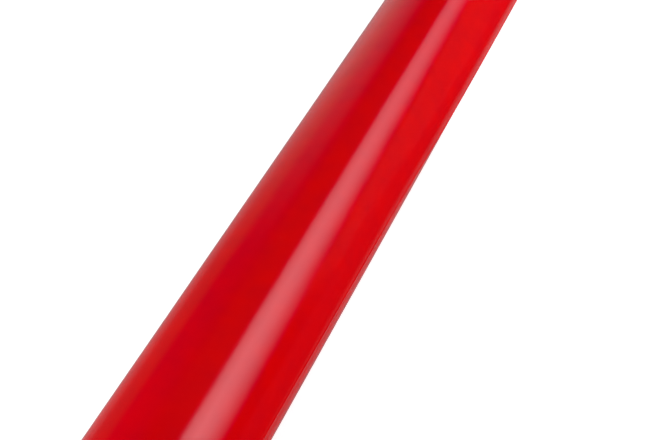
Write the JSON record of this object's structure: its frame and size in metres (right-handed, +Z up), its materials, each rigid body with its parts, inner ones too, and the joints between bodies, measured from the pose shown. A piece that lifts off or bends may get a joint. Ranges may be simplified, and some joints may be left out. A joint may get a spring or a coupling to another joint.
{
  "type": "backdrop paper roll",
  "caption": "Wound roll of satin background paper on a cardboard core, with push-in crossbar plugs and a free end that peels back.",
  "frame": {"origin": "on the roll's axis at the middle of its width", "axes": "+X along the roll's axis, +Z up, -Y towards the side where the sheet's free edge lies"},
  "size_m": [0.676, 0.0831, 0.0829],
  "materials": {
    "sheet": "satin coated",
    "core_board": "raw kraft board",
    "tape": "creped paper tape",
    "plug": "fine moulded grain"
  },
  "bodies": {
    "roll": {"core_tube": "core_board", "start_tape": "tape", "paper_pack": "sheet", "outer_turn": "sheet"},
    "core_plug_left": {"core_plug_left": "plug"},
    "core_plug_right": {"core_plug_right": "plug"},
    "free_end_1": {"free_end_1": "sheet"},
    "free_end_2": {"free_end_2": "sheet"},
    "free_end_3": {"free_end_3": "sheet"},
    "free_end_4": {"free_end_4": "sheet"},
    "free_end_5": {"free_end_5": "sheet"},
    "free_end_6": {"free_end_6": "sheet"},
    "free_end_7": {"free_end_7": "sheet"},
    "free_end_8": {"free_end_8": "sheet"},
    "free_end_9": {"free_end_9": "sheet"}
  },
  "joints": [
    {"name": "free_end_peel", "type": "hinge", "parent": "roll", "child": "free_end_1", "pos_m": [0, 0.00937, 0.04057], "axis": [-1, 0, 0], "range_deg": [0, 12], "stiffness_Nm_per_rad": 0.04},
    {"name": "free_end_peel_2", "type": "hinge", "parent": "free_end_1", "child": "free_end_2", "pos_m": [0, 0.00073, 0.04163], "axis": [-1, 0, 0], "range_deg": [0, 12], "stiffness_Nm_per_rad": 0.04},
    {"name": "free_end_peel_3", "type": "hinge", "parent": "free_end_2", "child": "free_end_3", "pos_m": [0, -0.00795, 0.04088], "axis": [-1, 0, 0], "range_deg": [0, 12], "stiffness_Nm_per_rad": 0.04},
    {"name": "free_end_peel_4", "type": "hinge", "parent": "free_end_3", "child": "free_end_4", "pos_m": [0, -0.01627, 0.03833], "axis": [-1, 0, 0], "range_deg": [0, 12], "stiffness_Nm_per_rad": 0.04},
    {"name": "free_end_peel_5", "type": "hinge", "parent": "free_end_4", "child": "free_end_5", "pos_m": [0, -0.02388, 0.03411], "axis": [-1, 0, 0], "range_deg": [0, 12], "stiffness_Nm_per_rad": 0.04},
    {"name": "free_end_peel_6", "type": "hinge", "parent": "free_end_5", "child": "free_end_6", "pos_m": [0, -0.03045, 0.0284], "axis": [-1, 0, 0], "range_deg": [0, 12], "stiffness_Nm_per_rad": 0.04},
    {"name": "free_end_peel_7", "type": "hinge", "parent": "free_end_6", "child": "free_end_7", "pos_m": [0, -0.03569, 0.02145], "axis": [-1, 0, 0], "range_deg": [0, 12], "stiffness_Nm_per_rad": 0.04},
    {"name": "free_end_peel_8", "type": "hinge", "parent": "free_end_7", "child": "free_end_8", "pos_m": [0, -0.03937, 0.01356], "axis": [-1, 0, 0], "range_deg": [0, 12], "stiffness_Nm_per_rad": 0.04},
    {"name": "free_end_peel_9", "type": "hinge", "parent": "free_end_8", "child": "free_end_9", "pos_m": [0, -0.04133, 0.00507], "axis": [-1, 0, 0], "range_deg": [0, 12], "stiffness_Nm_per_rad": 0.04},
    {"name": "core_plug_left_pull", "type": "slide", "parent": "roll", "child": "core_plug_left", "axis": [-1, 0, 0], "range_m": [0, 0.028]},
    {"name": "core_plug_right_pull", "type": "slide", "parent": "roll", "child": "core_plug_right", "axis": [1, 0, 0], "range_m": [0, 0.028]}
  ],
  "couplings": [
    {"joint": "free_end_peel_2", "follows": "free_end_peel", "ratio": 1},
    {"joint": "free_end_peel_3", "follows": "free_end_peel", "ratio": 1},
    {"joint": "free_end_peel_4", "follows": "free_end_peel", "ratio": 1},
    {"joint": "free_end_peel_5", "follows": "free_end_peel", "ratio": 1},
    {"joint": "free_end_peel_6", "follows": "free_end_peel", "ratio": 1},
    {"joint": "free_end_peel_7", "follows": "free_end_peel", "ratio": 1},
    {"joint": "free_end_peel_8", "follows": "free_end_peel", "ratio": 1},
    {"joint": "free_end_peel_9", "follows": "free_end_peel", "ratio": 1}
  ]
}
